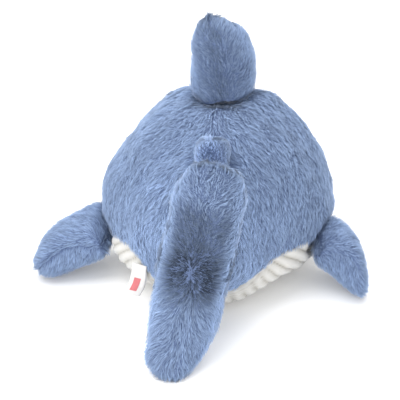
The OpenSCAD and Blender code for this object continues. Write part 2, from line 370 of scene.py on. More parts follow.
PUFF_FRAMES = 20
PUFF_CAP = 6 * MM  # the furthest that a point may move
CLOTH_SETTINGS = {
    "quality": 6,
    "mass": 0.2,
    "tension_stiffness": 12,
    "compression_stiffness": 12,
    "bending_stiffness": 0.6,
    "use_pressure": True,
    "uniform_pressure_force": 4.0,
    "vertex_group_mass": "pin",
}


def puff(skin, pinned):
    """Swells the skin from inside as cloth, held where pinned, and keeps the result."""
    obj = skin.object("puff")
    group = obj.vertex_groups.new(name="pin")
    for i in np.flatnonzero(pinned.ravel()):
        group.add([int(i)], 1.0, "REPLACE")
    cloth = obj.modifiers.new("cloth", "CLOTH")
    for key, value in CLOTH_SETTINGS.items():
        setattr(cloth.settings, key, value)
    cloth.settings.effector_weights.gravity = 0
    cloth.collision_settings.use_collision = False
    scene = bpy.context.scene
    for number in range(1, PUFF_FRAMES + 1):
        scene.frame_set(number)
    graph = bpy.context.evaluated_depsgraph_get()
    result = obj.evaluated_get(graph).data
    moved = np.empty(len(result.vertices) * 3)
    result.vertices.foreach_get("co", moved)
    step = moved.reshape(skin.grid.shape) - skin.grid
    size = np.linalg.norm(step, axis=-1, keepdims=True)
    skin.grid = skin.grid + step * np.minimum(1, PUFF_CAP / np.maximum(size, 1e-9))
    bpy.data.objects.remove(obj)
    scene.frame_set(1)


FLOOR_GAP = 0.5 * MM  # no skin comes nearer to the floor than this
broad = Waves(3, 0.055)
fine = Waves(4, 0.022)


def stuffing_lumps(points):
    """Uneven filling under the cloth."""
    return 1.3 * MM * broad(points) + 0.5 * MM * fine(points)


def bulge_heights(grid, bulges):
    """How far filling pushes the cloth out, from the place, size and height of each lump."""
    return sum(
        height * bell(np.linalg.norm(grid - place, axis=2), size) for place, size, height in bulges
    )


# -------- fins


class Fin:
    """One stuffed fin: its panels, its hinge and the directions that it grows in."""

    BEND_FROM = -22 * MM
    BEND_TO = 16 * MM
    ROOT_SHARE = 0.75  # how much of the round root inside the body the skin takes in

    def __init__(self, joint, inset, sections="reach", bulges=()):
        self.inset = inset
        self.bulges = bulges
        found = joint_named(joint)
        self.body = found["child"]
        self.nodes = frame["record"]["behaviour"]["bodies"][self.body]
        self.panels = [n for n in self.nodes if "panel" in n]
        self.hinge = np.array(found["pos_m"])
        self.axis = unit(np.array(found["axis"]))
        corners = cad_triangles(*self.panels).reshape(-1, 3) - self.hinge
        reach = corners.mean(0)
        self.reach = unit(reach - self.axis * (reach @ self.axis))
        self.side = np.cross(self.axis, self.reach)
        along, toward = (self.reach, self.axis) if sections == "reach" else (self.axis, self.reach)
        start = -1.0
        if sections == "reach":
            start = self.ROOT_SHARE * (corners @ self.reach).min()
        self.skin = Skin(self.panels, self.hinge, along, toward, 3.5 * MM, 72, inset, start=start)

    def shape(self):
        """Swells the fin, with a valley along its seams and uneven filling."""
        skin = self.skin
        column = np.arange(skin.grid.shape[1])
        opposite = (len(column) // 2 - column) % len(column)
        from_seam = np.minimum(np.minimum(column, opposite), len(column) - column)
        pinned = ((skin.grid - self.hinge) @ self.reach) < self.BEND_FROM
        pinned |= from_seam[None, :] == 0
        skin.push(np.full(pinned.shape, -self.inset))
        skin.relax(5)
        puff(skin, pinned)
        skin.relax(1)
        valley = bell(from_seam, 3.0)[None, :] * 2.5 * MM
        skin.push(stuffing_lumps(skin.grid) - valley + bulge_heights(skin.grid, self.bulges))
        skin.grid[:, :, 2] = np.maximum(skin.grid[:, :, 2], FLOOR_GAP)

    def join(self, piece):
        """Bakes the piece's placement into its points."""
        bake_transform(piece)


DORSAL_BULGES = [((0.028, -0.03, 0.242), 22 * MM, 8 * MM)]
TAIL_BULGES = [((0.042, 0.315, 0.012), 30 * MM, 7 * MM)]
PECTORAL_BULGES = [((0.165, 0.015, 0.07), 20 * MM, 9 * MM)]
FINS = {
    "dorsal": Fin("dorsal_flop", 5.5 * MM, bulges=DORSAL_BULGES),
    "second_dorsal": Fin("second_dorsal_flop", 1.5 * MM),
    "tail": Fin("tail_swing", 1.5 * MM, sections="axis", bulges=TAIL_BULGES),
    "pectoral_left": Fin("pectoral_left_lift", 5 * MM, bulges=PECTORAL_BULGES),
    "pectoral_right": Fin("pectoral_right_lift", 4 * MM),
}
for fin in FINS.values():
    fin.shape()
fins_surface = Surface(*(fin.skin for fin in FINS.values()))


# -------- body

BODY_NODES = ("back_panel_left", "back_panel_right", "belly_panel")
BACK_INSET = 5.0 * MM  # the fur's backing lies this far inside the CAD surface
BELLY_INSET = 3.0 * MM
CLOTH = 2.0 * MM  # thickness of a backing cloth


class Body:
    """The body's skin, and how far down each of its rings the belly seam lies."""

    BULGES = [
        ((-0.09, -0.03, 0.20), 60 * MM, 8 * MM),
        ((-0.07, -0.075, 0.215), 32 * MM, 5 * MM),
        ((0.065, -0.085, 0.21), 32 * MM, 6 * MM),
        ((0.13, -0.03, 0.155), 45 * MM, -3 * MM),
    ]

    def __init__(self):
        self.skin = Skin(BODY_NODES, np.zeros(3), BACKWARD, UP, 3.5 * MM, 200, 5 * MM, even=True)
        self.seams = self.seam_shares()
        self.shape()

    def seam_shares(self):
        """How far down each half outline the belly seam lies: 1 where there is no belly."""
        belly = cad_triangles("belly_panel")
        half = self.skin.half(1)
        found = np.ones(len(half))
        for j, line in enumerate(half):
            edge = cut_points(belly[:, :, [0, 2, 1]], line[0, 1])
            edge = edge[edge[:, 0] > 0]
            if len(edge) < 4:
                continue
            edge = edge[np.argsort(edge[:, 1])[-4:]]
            edge = edge[np.argmax(edge[:, 0])]
            nearest = np.argmin(np.linalg.norm(line[:, [0, 2]] - edge, axis=1))
            arc = arc_lengths(line)
            found[j] = arc[nearest] / arc[-1]
        ends = len(Skin.END_SCALES) + 1
        found[:ends] = found[ends]
        return running_mean(found, 2)

    def shape(self):
        skin = self.skin
        rows, columns = skin.grid.shape[:2]
        share = 1 - np.abs(np.arange(columns) / (columns / 2) - 1)
        below = share[None, :] - self.seams[:, None]
        spine = np.minimum(np.arange(columns), columns - np.arange(columns))
        room = smooth_step(np.arange(rows), 0, 5) * smooth_step(rows - 1 - np.arange(rows), 0, 5)
        cream = smooth_step(below, 0, 0.05)
        skin.push(-(BACK_INSET + (BELLY_INSET - BACK_INSET) * cream))
        near_fin = np.abs(fins_surface.heights(skin.flat())).reshape(rows, columns)
        pinned = (np.abs(below) < 0.012) | (near_fin < 9 * MM) | (skin.grid[:, :, 2] < 6 * MM)
        pinned |= (spine == 0)[None, :] | (room < 0.5)[:, None]
        puff(skin, pinned)
        dips = 5.0 * MM * bell(near_fin, 9 * MM) + 0.8 * MM * bell(spine, 1.8)[None, :]
        dips += 2.5 * MM * bell(below, 0.02)
        lumps = 1.2 * stuffing_lumps(skin.grid) + bulge_heights(skin.grid, self.BULGES)
        skin.push((lumps - dips) * room[:, None])
        skin.grid[:, :, 2] = np.maximum(skin.grid[:, :, 2], FLOOR_GAP)

    def cut(self, side, start, end, columns):
        """Points and normals of one half of the skin between two shares."""
        half = np.concatenate([self.skin.half(side), self.skin.half(side, normals=True)], 2)
        rows = [resample(line, np.linspace(a, b, columns)) for line, a, b in zip(half, start, end)]
        rows = np.array(rows)
        return rows[:, :, :3], unit(rows[:, :, 3:])


body = Body()


# -------- materials


class Material:
    """A material in the making. Its methods return node outputs to pass on to the next node."""

    def __init__(self, name, settings):
        self.made = bpy.data.materials.new(name)
        self.made.use_nodes = True
        self.tree = self.made.node_tree
        self.shader = self.tree.nodes["Principled BSDF"]
        for key, value in settings.items():
            self.shader.inputs[key].default_value = value

    def node(self, kind, sources, **values):
        """A node with its inputs linked to the sources, and values for other inputs or settings."""
        node = self.tree.nodes.new(kind)
        for key, value in values.items():
            if key in node.inputs:
                node.inputs[key].default_value = value
            else:
                setattr(node, key, value)
        for key, source in sources.items():
            self.tree.links.new(source, node.inputs[key])
        return node

    def texture(self, kind, **values):
        place = self.node("ShaderNodeTexCoord", {}).outputs["Object"]
        return self.node(kind, {"Vector": place}, **values).outputs["Fac"]

    def noise(self, scale, detail):
        return self.texture("ShaderNodeTexNoise", Scale=scale, Detail=detail)

    def attribute(self, name):
        return self.node("ShaderNodeAttribute", {}, attribute_name=name).outputs["Fac"]

    def scaled(self, value, factor, added):
        """value times factor, plus a number or another output."""
        sources = {0: value} if isinstance(added, float) else {0: value, 2: added}
        node = self.node("ShaderNodeMath", sources, operation="MULTIPLY_ADD")
        node.inputs[1].default_value = factor
        if isinstance(added, float):
            node.inputs[2].default_value = added
        return node.outputs[0]

    def color(self, along, stops, brightness=None):
        """Colours the surface by the stops that an output runs along, times a brightness."""
        node = self.node("ShaderNodeValToRGB", {"Fac": along})
        elements = node.color_ramp.elements
        while len(elements) < len(stops):
            elements.new(0.5)
        for element, (position, color) in zip(elements, stops):
            element.position = position
            element.color = (*color, 1)
        if brightness is not None:
            sources = {"Color": node.outputs["Color"], "Value": brightness}
            node = self.node("ShaderNodeHueSaturation", sources)
        self.tree.links.new(node.outputs["Color"], self.shader.inputs["Base Color"])

    def bump(self, height, strength, distance):
        node = self.node("ShaderNodeBump", {"Height": height}, Strength=strength, Distance=distance)
        self.tree.links.new(node.outputs["Normal"], self.shader.inputs["Normal"])


def fur_material():
    """Pile that is dark at its root and light at its tip, with streaks and soft patches. The dark
    root is painted shade deep in the pile; the tone attribute carries the rules' painted light and
    shade as well as random streaks.
    """
    fur = Material("blue fur", {
        "Roughness": 0.85, "Specular IOR Level": 0.2,
        "Sheen Weight": 0.4, "Sheen Roughness": 0.35, "Sheen Tint": (0.75, 0.84, 1.0, 1),
    })
    # The root stop is painted shade deep in the pile between the wisps.
    root, middle, tip = (0.095, 0.145, 0.27), (0.22, 0.305, 0.49), (0.33, 0.445, 0.66)
    patches = fur.scaled(fur.noise(20.0, 3.0), 0.42, 0.79)
    # The tone brings the rules' painted light and shade along with the streaks.
    streaks = fur.scaled(fur.attribute("tone"), 0.26, patches)
    fur.color(fur.attribute("height"), [(0.0, root), (0.45, middle), (1.0, tip)], streaks)
    fur.bump(fur.noise(900.0, 2.0), 0.35, 0.0004)
    return fur.made


def grained_material(name, grain, stops, bump, settings):
    """A surface with a fine grain in its colour and its height."""
    cloth = Material(name, settings)
    noise = cloth.noise(*grain)
    cloth.color(noise, stops)
    cloth.bump(noise, *bump)
    return cloth.made


def cream_material():
    """Short soft pile of the belly, with painted shade in the valleys between its ribs and along
    its edges.
    """
    cream = Material("cream plush", {"Roughness": 0.95, "Sheen Weight": 0.3})
    stops = [(0.0, (0.30, 0.28, 0.245)), (0.5, (0.54, 0.525, 0.485)), (1.0, (0.64, 0.63, 0.60))]
    cream.color(cream.attribute("height"), stops, cream.scaled(cream.noise(30.0, 2.0), 0.16, 0.92))
    cream.bump(cream.noise(420.0, 4.0), 0.5, 0.0008)
    return cream.made


def gloss_material():
    """Moulded black plastic with faint handling marks."""
    gloss = Material("black eye", {
        "Specular IOR Level": 0.25, "Coat Weight": 0.25, "Coat Roughness": 0.04,
    })
    marks = gloss.noise(260.0, 5.0)
    gloss.color(marks, [(0.35, (0.006, 0.006, 0.008)), (0.75, (0.020, 0.019, 0.022))])
    rough = gloss.node("ShaderNodeMapRange", {"Value": marks})
    rough.inputs["To Min"].default_value = 0.05
    rough.inputs["To Max"].default_value = 0.16
    gloss.tree.links.new(rough.outputs["Result"], gloss.shader.inputs["Roughness"])
    return gloss.made


def washer_material():
    """White nylon with a fine moulded grain."""
    nylon = Material("white washer", {"Roughness": 0.45})
    nylon.color(nylon.noise(700.0, 3.0), [(0.3, (0.72, 0.72, 0.70)), (0.8, (0.84, 0.84, 0.83))])
    return nylon.made


def satin_material(name, light, dark):
    """Woven satin: fine slanting ribs and a soft lustre."""
    satin = Material(name, {"Roughness": 0.42, "Sheen Weight": 0.2})
    weave = satin.texture("ShaderNodeTexWave", Scale=430.0, Distortion=1.5,
                          bands_direction="DIAGONAL")
    satin.color(satin.noise(120.0, 4.0), [(0.25, dark), (0.8, light)])
    satin.bump(weave, 0.25, 0.0001)
    return satin.made


blue_fur = fur_material()
cream_plush = cream_material()
# The backing cloth is real, but its dark blue is painted shade, as dark as the wisps' roots.
blue_backing = grained_material(
    "blue backing", (500.0, 4.0), [(0.3, (0.08, 0.12, 0.23)), (0.7, (0.15, 0.21, 0.37))],
    (0.6, 0.0006), {"Roughness": 0.9})
dark_thread = grained_material(
    "dark thread", (1500.0, 3.0), [(0.3, (0.030, 0.045, 0.095)), (0.75, (0.075, 0.105, 0.19))],
    (0.5, 0.0002), {"Roughness": 0.6, "Sheen Weight": 0.3})
white_satin = satin_material("white satin", (0.70, 0.685, 0.665), (0.60, 0.585, 0.57))
red_satin = satin_material("red band", (0.62, 0.16, 0.17), (0.48, 0.11, 0.12))


def finish_piece(obj, mat, slot, *nodes):
    obj.data.materials.clear()
    obj.data.materials.append(mat)
    if nodes:
        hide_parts(*nodes)


# -------- fur


class Blade:
    """One kind of wisp: a slim closed blade with three sides, from its root to its tip."""

    def __init__(self, length, width, lift, spacing, bent, light=0.0):
        self.length = length
        self.width = width
        self.lift = math.radians(lift)
        self.spacing = spacing
        self.light = light
        self.bent = bent
        if bent:
            self.faces = [(0, 1, 2), (0, 4, 1), (0, 3, 4), (1, 5, 2), (1, 4, 5)]
            self.faces += [(2, 3, 0), (2, 5, 3), (3, 6, 4), (4, 6, 5), (5, 6, 3)]
            self.heights = [0.0, 0.0, 0.1, 0.55, 0.55, 0.6, 1.0]
        else:
            self.faces = [(0, 1, 2), (0, 3, 1), (1, 3, 2), (2, 3, 0)]
            self.heights = [0.0, 0.0, 0.1, 0.9]

    def points(self, root, flow, across, normals, length, width, lift):
        """Points and soft normals of every wisp, wisp by wisp."""
        def out(angle, share):
            direction = flow * np.cos(angle)[:, None] + normals * np.sin(angle)[:, None]
            return (length * share)[:, None] * direction

        aside = across * (width / 2)[:, None]
        above = normals * (width * 0.4)[:, None]
        base = root - normals * ROOT_DEPTH
        rings = [base + aside, base - aside, base + above]
        looks = [normals + 0.5 * across, normals - 0.5 * across, normals]
        if self.bent:
            middle = root + out(lift + 0.2, 0.5)
            rings += [middle + aside * 0.85, middle - aside * 0.85, middle + above]
            looks += looks
        rings.append(root + out(np.maximum(lift - 0.05, 0.02), 1.0))
        looks.append(normals + 0.25 * flow)
        return np.stack(rings, 1), unit(np.stack(looks, 1))


ROOT_DEPTH = 1.2 * MM  # how deep a wisp's root lies in the backing
TONES = (-3.3, 2.2)  # the darkest and the lightest tone of a wisp


class Pile:
    """Long pile as a dense layer of short straight wisps under fewer long bent ones."""

    def __init__(self, seed, size=1.0, lift=1.0):
        self.rng = np.random.default_rng(seed)
        short = Blade(8 * MM * size, 1.15 * MM, 24 * lift, 1.55 * MM, bent=False)
        long = Blade(11.5 * MM * size, 1.0 * MM, 17 * lift, 2.8 * MM, bent=True, light=0.15)
        self.blades = [short, long]
        self.streaks = Waves(seed + 1, 1.3 * MM)
        self.ridges = Waves(seed + 2, 4.0 * MM)
        self.swirls = Waves(seed + 3, 18 * MM)

    def scatter(self, grid, spacing, *fields):
        """Random places on a grid of points, evenly by area, and the fields' values there."""
        quads = grid_faces(*grid.shape[:2])
        triangles = np.concatenate([quads[:, [0, 1, 2]], quads[:, [0, 2, 3]]])
        corners = grid.reshape(-1, 3)[triangles]
        sides = corners[:, 1:] - corners[:, :1]
        area = np.linalg.norm(np.cross(sides[:, 0], sides[:, 1]), axis=1) / 2
        count = int(area.sum() / spacing**2)
        chosen = self.rng.choice(len(area), count, p=area / area.sum())
        a, b = self.rng.random((2, count))
        a, b = np.where(a + b > 1, 1 - a, a), np.where(a + b > 1, 1 - b, b)
        weights = np.stack([1 - a - b, a, b], 1)[:, :, None]
        found = [(corners[chosen] * weights).sum(1)]
        for field in fields:
            values = field.reshape(len(grid.reshape(-1, 3)), -1)[triangles[chosen]]
            found.append((values * weights).sum(1))
        return found

    @staticmethod
    def smeared(field, points, flow, reach):
        """The field averaged along the flow, which draws it out into streaks."""
        steps = np.linspace(-reach, reach, 7)
        return sum(field(points + flow * step) for step in steps) / math.sqrt(len(steps)) * 0.8

    def plant(self, name, grid, normals, extra, rule, parts=None):
        """Wisps on a grid. The rule says which to keep, and their flow, size and shade.

        parts names the meshes that the wisps are shared out to, with a test of the points for each.
        """
        batches = []
        for blade in self.blades:
            points, looks, values = self.scatter(grid, blade.spacing, normals, extra)
            looks = unit(looks)
            keep, flow, size, shade = rule(points, looks, values[:, 0])
            batches.append((blade, [v[keep] for v in (points, looks, flow, size, shade)]))
        made = []
        for suffix, test in (parts or {"": lambda p: np.ones(len(p), bool)}).items():
            pieces = []
            for blade, values in batches:
                chosen = test(values[0])
                pieces.append(self.grow(blade, *(v[chosen] for v in values)))
            made.append(self.mesh(name + suffix, pieces))
        return made

    def grow(self, blade, points, normals, flow, size, shade):
        """Points, faces, normals, heights and tones of the wisps of one kind."""
        count = len(points)
        rng = self.rng
        swirl = 0.22 * self.swirls(points) + rng.normal(0, 0.10, count)
        across = np.cross(normals, flow)
        flow = flow * np.cos(swirl)[:, None] + across * np.sin(swirl)[:, None]
        across = np.cross(normals, flow)
        ridge = self.smeared(self.ridges, points, flow, 7 * MM)
        streak = self.smeared(self.streaks, points, flow, 5 * MM)
        lift = np.maximum(blade.lift * (1 + 0.18 * ridge + rng.normal(0, 0.15, count)), 0.03)
        length = blade.length * size * (1 + 0.06 * ridge + rng.normal(0, 0.12, count))
        width = blade.width * rng.uniform(0.6, 1.25, count)
        verts, looks = blade.points(points, flow, across, normals, length, width, lift)
        verts[:, :, 2] = np.maximum(verts[:, :, 2], 0.3 * MM)
        corners = len(blade.heights)
        faces = np.arange(count)[:, None, None] * corners + np.array(blade.faces)[None]
        # A wisp's tone adds its random streaks and ridges to the painted light and shade that the
        # rule gives it.
        tone = 0.35 * streak + 0.2 * ridge + rng.normal(0, 0.12, count) + shade + blade.light
        return (verts.reshape(-1, 3), faces.reshape(-1, 3), looks.reshape(-1, 3),
                np.tile(blade.heights, count), np.repeat(np.clip(tone, *TONES), corners))

    @staticmethod
    def mesh(name, pieces):
        """The wisps of all kinds as one mesh."""
        starts = np.cumsum([0] + [len(piece[0]) for piece in pieces])
        pieces = [(v, f + start, *rest) for (v, f, *rest), start in zip(pieces, starts)]
        verts, faces, looks, heights, tones = (np.concatenate(parts) for parts in zip(*pieces))
        obj = new_object(name, verts, faces)
        obj.data.normals_split_custom_set_from_vertices(looks)
        set_attribute(obj, "height", heights)
        set_attribute(obj, "tone", tones)
        return obj


body_surface = Surface(body.skin)


class Eye:
    """Where a CAD eye sits: the middle of its dome's foot, the way it looks and its radius."""

    def __init__(self, side):
        self.side = side
        eye = points_of(frame["nodes"][f"eye_{side}"])
        washer = points_of(frame["nodes"][f"eye_washer_{side}"])
        inside = (washer.min(0) + washer.max(0)) / 2
        middle = (eye.min(0) + eye.max(0)) / 2
        self.look = unit(middle - inside)
        depth = (eye - inside) @ self.look
        away = np.linalg.norm((eye - inside) - depth[:, None] * self.look, axis=1)
        self.radius = away.max()
        self.place = inside + self.look * depth[away > 0.9 * self.radius].min()
        self.shank = depth[away > 0.9 * self.radius].min() - depth.min()


EYES = [Eye("left"), Eye("right")]


def body_flow(points, normals):
    """The back's pile runs backwards and down from the spine."""
    side = np.tanh(points[:, 0] / 0.03)[:, None]
    around = np.cross(BACKWARD, normals) * side
    down = smooth_step(points[:, 1], -0.26, -0.12)[:, None]
    return along_surface(BACKWARD * (1.0 - 0.35 * down) + around * 0.9 * down, normals)


SEAM_CLEAR = 7 * MM  # the fur's backing ends this far above the belly seam, which the pile covers


def body_rule(points, normals, seam_gap):
    """Where the back's wisps grow, which way and how long, from their distance above the seam."""
    near_fin = fins_surface.heights(points)
    keep = near_fin > -3 * MM
    flow = body_flow(points, normals)
    size = 0.55 + 0.45 * smooth_step(seam_gap, 0, 25 * MM)
    # Painted light along the top of the spine, painted shade in the creases round the fins' roots,
    # and painted light on the back's rear part near the tail.
    spine = bell(points[:, 0], 14 * MM) * (points[:, 2] > 0.1)
    shade = 0.35 * spine - bell(near_fin, 11 * MM)
    shade += 0.8 * smooth_step(points[:, 1], 0.10, 0.19)
    for eye in EYES:
        away = points - eye.place
        gap = np.linalg.norm(away, axis=1)
        keep &= gap > eye.radius + 0.5 * MM
        near = smooth_step(gap, eye.radius, eye.radius + 14 * MM)[:, None]
        flow = unit(flow * near + along_surface(away, normals) * (1 - near))
        size *= 0.5 + 0.5 * near[:, 0]
    return keep, flow, size, shade


def plant_body(side, name):
    ones = np.ones(len(body.seams))
    lengths = row_arcs(body.skin.half(side))[:, -1]
    has_belly = smooth_step(1 - body.seams, 0, 0.08)
    edge = np.minimum(body.seams - SEAM_CLEAR / lengths * has_belly, 1)
    points, normals = body.cut(side, ones * 0, edge, 90)
    cloth = closed_panel(f"{name}_cloth", points, normals, CLOTH)
    finish_piece(cloth, blue_backing, "blue_fur", name)
    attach(cloth, "body")
    arcs = row_arcs(points)
    seam_gap = arcs[:, -1:] - arcs + 0.05 * (1 - has_belly)[:, None]
    parts = {"_fur_front": lambda p: p[:, 1] < -0.01, "_fur_rear": lambda p: p[:, 1] >= -0.01}
    for fur in Pile(100 + side).plant(name, points, normals, seam_gap, body_rule, parts):
        finish_piece(fur, blue_fur, "blue_fur")
        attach(fur, "body")


plant_body(1, "back_panel_left")
plant_body(-1, "back_panel_right")


def plant_fin(name, fin):
    small = name == "second_dorsal"
    pile = Pile(200 + 10 * list(FINS).index(name), size=0.6 if small else 0.85, lift=1.25)
    across = fin.side if name == "tail" else -fin.side
    for side in (1, -1):
        points, normals = fin.skin.half(side), fin.skin.half(side, normals=True)
        middle = (points - fin.skin.grid.mean((0, 1))).mean((0, 1))
        node = max(fin.panels, key=lambda n: cad_triangles(n).mean((0, 1)) @ middle)
        filling = fin.nodes[-1:] if side > 0 else []
        cloth = closed_panel(f"{node}_cloth", points, normals, CLOTH)
        finish_piece(cloth, blue_backing, "blue_fur", node, *filling)
        fin.join(cloth)

        def rule(places, looks, seam_gap):
            above = body_surface.heights(places)
            away = across * side * (0.55 * smooth_step(seam_gap, 0, 25 * MM))[:, None]
            flow = fin_flow(name, fin, places, looks, away)
            # Painted shade in the crease where the fin meets the body, on top of the fin's own
            # painted light and shade.
            shade = painted_fin_shading(name, fin, places, seam_gap) - bell(above, (3 if small else 8) * MM)
            return above > -6 * MM, flow, np.ones(len(places)), shade

        for fur in pile.plant(f"{node}_fur", points, normals, row_arcs(points), rule):
            finish_piece(fur, blue_fur, "blue_fur")
            fin.join(fur)


def fin_flow(name, fin, points, normals, away):
    """A fin's pile runs from its root to its tip and away from its edge seam."""
    if name == "tail":
        along = (points - fin.hinge) @ fin.axis
        lobe = np.clip(along / 0.08, -1, 1)[:, None] * fin.axis
        return along_surface(lobe * 0.75 + away + fin.reach * 0.3, normals)
    return along_surface(fin.reach * 0.8 + away, normals)


def painted_fin_shading(name, fin, points, seam_gap):
    """Painted light and shade of the fins, by the distance from the rear seam. The tail gets
    painted shade over its upper lobe, most in the notch between its lobes, and painted light on its
    sides. The dorsal gets painted shade, most along its rear seam, turning to painted light towards
    its sides. The second dorsal gets painted light all over, most towards its sides. The pectorals
    get none.
    """
    if name == "tail":
        along = (points - fin.hinge) @ fin.axis
        # Painted shade in the notch between the lobes and over the upper lobe, painted light on the
        # tail's sides.
        notch = bell(along - 2 * MM, 28 * MM)
        upper = smooth_step(along, -45 * MM, 5 * MM) * (1 - smooth_step(along, 70 * MM, 105 * MM))
        rim = smooth_step(seam_gap, 18 * MM, 46 * MM)
        return 1.6 * rim - (1 - rim) * (0.3 + 1.8 * upper + 1.5 * notch)
    if name == "dorsal":
        # Painted shade along the dorsal's rear seam, painted light towards its sides.
        return 0.9 * smooth_step(seam_gap, 20 * MM, 50 * MM) - 0.5 - 1.1 * bell(seam_gap, 20 * MM)
    if name == "second_dorsal":
        # Painted light all over the second dorsal, most towards its sides.
        return 1.9 + 1.3 * smooth_step(seam_gap, 4 * MM, 12 * MM)
    return np.zeros(len(points))


for name, fin in FINS.items():
    plant_fin(name, fin)


# -------- ribbed belly

RIB_PITCH = 16 * MM
RIB_HEIGHT = 3.2 * MM


def mouth_centre_line():
    """The middle of the CAD mouth stitch, from one corner to the other."""
    local = cad_triangles("mouth_stitch")[:, :, [1, 2, 0]]
    ends = local[:, :, 2].min() + 1 * MM, local[:, :, 2].max() - 1 * MM
    spots = np.linspace(*ends, 90)
    return np.array([[x, *cut_points(local, x).mean(0)] for x in spots])


mouth_line = mouth_centre_line()


def plant_belly():
    """The belly cloth, with ribs that sway a little and are pulled flat at the mouth."""
    ones = np.ones(len(body.seams))
    columns = 120
    lengths = row_arcs(body.skin.half(1))[:, -1]
    top = body.seams - (SEAM_CLEAR + 2 * MM) / lengths
    right, right_n = body.cut(-1, top, ones, columns)
    left, left_n = body.cut(1, top, ones, columns)
    points = np.concatenate([left, right[:, -2::-1]], 1)
    normals = np.concatenate([left_n, right_n[:, -2::-1]], 1)
    arcs = row_arcs(points)
    across = arcs - arcs[:, columns - 1 : columns]
    sway = 1.2 * MM * Waves(31, 70 * MM)(points)
    wave = np.abs(np.cos(math.pi * (across + sway) / RIB_PITCH)) ** 0.7
    fade = smooth_step(np.minimum(arcs, arcs[:, -1:] - arcs), 0, 5 * MM)
    nap = 0.25 * MM * Waves(32, 2.0 * MM)(points)
    to_mouth = np.min([np.linalg.norm(points - spot, axis=2) for spot in mouth_line], 0)
    pulled = bell(to_mouth - to_mouth.min(), 5 * MM)
    ribs = RIB_HEIGHT * (wave - 0.35) * (1 - 0.75 * pulled) - 1.6 * MM * pulled
    points = points + normals * ((ribs + nap) * fade)[:, :, None]
    points[:, :, 2] = np.maximum(points[:, :, 2], 0.0)
    first, last = np.flatnonzero(body.seams < 0.995)[[0, -1]]
    keep = slice(max(first - 1, 0), last + 2)
    cloth = closed_panel("belly_cloth", points[keep], normals[keep], CLOTH)
    # The rib wave, faded at the edges, sets the colour: painted shade in the valleys between the
    # ribs and along the edges at the seam.
    set_attribute(cloth, "height", np.tile((wave * fade)[keep].ravel(), 2))
    finish_piece(cloth, cream_plush, "ribbed_cream", "belly_panel", "body_filling")
    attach(cloth, "body")


plant_belly()


# -------- eyes


LATHE_SIDES = 48


def lathe(name, profile, foot, look):
    """A closed turned piece. The profile is (radius, height) from the axis back to the axis."""
    aside = unit(np.cross(look, UP))
    above = np.cross(aside, look)
    turns = np.linspace(0, 2 * math.pi, LATHE_SIDES, endpoint=False)
    circle = np.outer(np.cos(turns), aside) + np.outer(np.sin(turns), above)
    rings = [foot + circle * max(radius, 0.02 * MM) + look * height for radius, height in profile]
    return closed_object(name, np.concatenate(rings).tolist(), ring_faces(len(rings), LATHE_SIDES))


def plant_eyes():
    """Each eye is a flat-footed dome with a small rim, on a shank with ridges for its washer."""
    gloss = gloss_material()
    rim, step, ridge = 0.7 * MM, 1.2 * MM, 0.25 * MM
    ridges = 12
    for eye in EYES:
        r = eye.radius
        pin, neck = 0.22 * r, 0.92 * r
        profile = [(0, -eye.shank)]
        for k in range(ridges):
            height = -eye.shank * (1 - k / ridges)
            profile += [(pin - ridge, height), (pin, height + eye.shank / (2 * ridges))]
        profile += [(pin, 0), (0.9 * r, 0), (0.98 * r, 0.2 * rim), (r, rim)]
        profile += [(0.98 * r, step), (neck, 1.1 * step)]
        for angle in np.linspace(0, math.pi / 2, 14):
            profile.append((neck * math.cos(angle), 1.15 * step + 0.8 * r * math.sin(angle)))
        piece = lathe(f"eye_{eye.side}_dome", profile, eye.place, eye.look)
        finish_piece(piece, gloss, "black_eye", f"eye_{eye.side}")
        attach(piece, "body")


plant_eyes()
nylon = washer_material()
for eye in EYES:
    node = frame["nodes"][f"eye_washer_{eye.side}"]
    node.data.materials.clear()
    node.data.materials.append(nylon)


# -------- mouth


TUBE_SIDES = 8


def tube(path, radii):
    """Points and faces of a tube along a path."""
    ahead = unit(np.gradient(path, axis=0))
    aside = unit(np.cross(ahead, UP + 0.01))
    above = np.cross(aside, ahead)
    turns = np.linspace(0, 2 * math.pi, TUBE_SIDES, endpoint=False)
    ring = aside[:, None] * np.cos(turns)[:, None] + above[:, None] * np.sin(turns)[:, None]
    points = path[:, None] + ring * radii[:, None, None]
    return points.reshape(-1, 3).tolist(), ring_faces(len(path), TUBE_SIDES)


def joined_tubes(name, tubes):
    points, faces = [], []
    for tube_points, tube_faces in tubes:
        faces += [[i + len(points) for i in face] for face in tube_faces]
        points += tube_points
    return closed_object(name, points, faces)


STITCH = 6.5 * MM
STITCH_GAP = 0.8 * MM
THREAD = 0.75 * MM  # radius of one ply


def plant_mouth():
    """Running stitches of two-ply thread along the CAD mouth line, pulled into the cloth."""
    cloth = bpy.data.objects["belly_cloth"]
    tree = BVHTree.FromPolygons(points_of(cloth).tolist(), triangles_of(cloth).tolist())
    line = []
    for point in mouth_line.tolist():
        place, normal = tree.find_nearest(point)[:2]
        line.append([*place, *normal])
    line = running_mean(np.array(line), 2)
    places, normals = line[:, :3], unit(line[:, 3:])
    arc = arc_lengths(places)
    tubes = []
    span = np.linspace(0, 1, 17)
    for k in range(int(arc[-1] / (STITCH + STITCH_GAP))):
        at = k * (STITCH + STITCH_GAP) + span * STITCH
        middle = np.stack([np.interp(at, arc, places[:, i]) for i in range(3)], 1)
        out = unit(np.stack([np.interp(at, arc, normals[:, i]) for i in range(3)], 1))
        middle = middle + out * (1.3 * MM * np.sin(math.pi * span) ** 0.5 - 0.7 * MM)[:, None]
        across = np.cross(unit(np.gradient(middle, axis=0)), out)
        for ply in (0, math.pi):
            twist = ply + span * 3 * math.pi
            offset = across * np.cos(twist)[:, None] + out * np.sin(twist)[:, None]
            radii = THREAD * (0.35 + 0.65 * np.sin(math.pi * span) ** 0.4)
            tubes.append(tube(middle + offset * THREAD * 0.6, radii))
    piece = joined_tubes("mouth_stitches", tubes)
    finish_piece(piece, dark_thread, "dark_thread", "mouth_stitch")
    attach(piece, "body")


plant_mouth()


# -------- label


